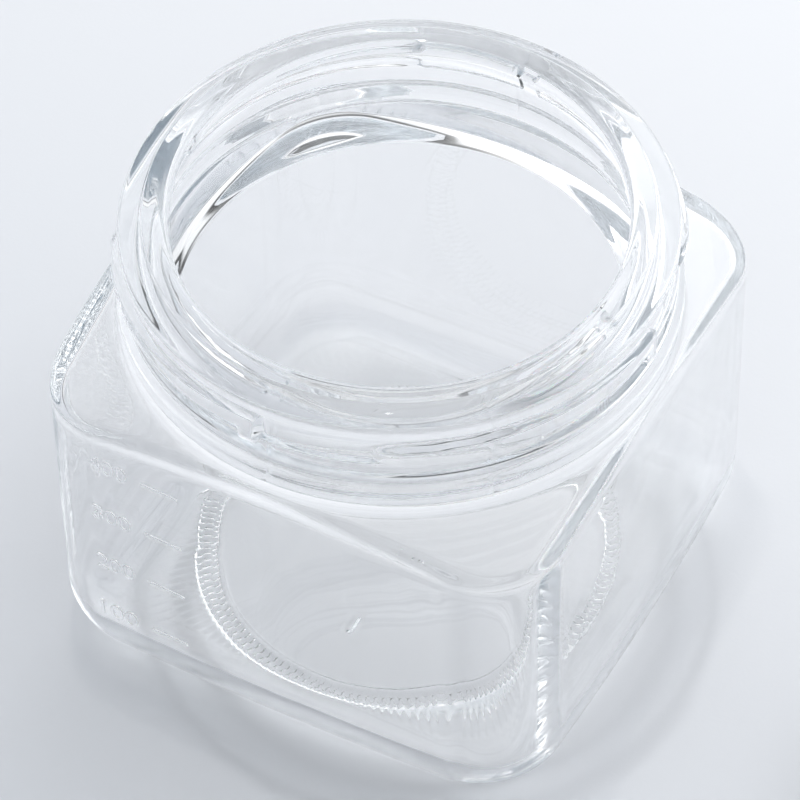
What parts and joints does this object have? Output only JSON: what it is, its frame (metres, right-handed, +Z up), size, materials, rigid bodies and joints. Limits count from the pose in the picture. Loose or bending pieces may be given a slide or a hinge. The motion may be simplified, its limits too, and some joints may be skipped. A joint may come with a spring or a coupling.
{
  "type": "glass canister",
  "caption": "Square clear glass canister with a wide round lugged neck, raised measuring marks, and a twist-on lid with a sealing ring lying beside it.",
  "frame": {"origin": "on the table, midway between the outer sides of the jar and the lid", "axes": "+Z up; +X from the jar to the lid; the face with the measuring marks looks along -Y"},
  "size_m": [0.2412, 0.1012, 0.0854],
  "materials": {
    "jar_glass": "clear, smooth, slightly wavy",
    "lid_plastic": "clear, glossy",
    "ring_silicone": "milky, satin"
  },
  "bodies": {
    "jar": {"glass_jar": "jar_glass"},
    "lid": {"lid": "lid_plastic", "sealing_ring": "ring_silicone"}
  },
  "joints": [
    {"name": "lid_lift", "type": "slide", "parent": "jar", "child": "lid", "axis": [0, 0, 1], "range_m": [0, 0.09]}
  ]
}
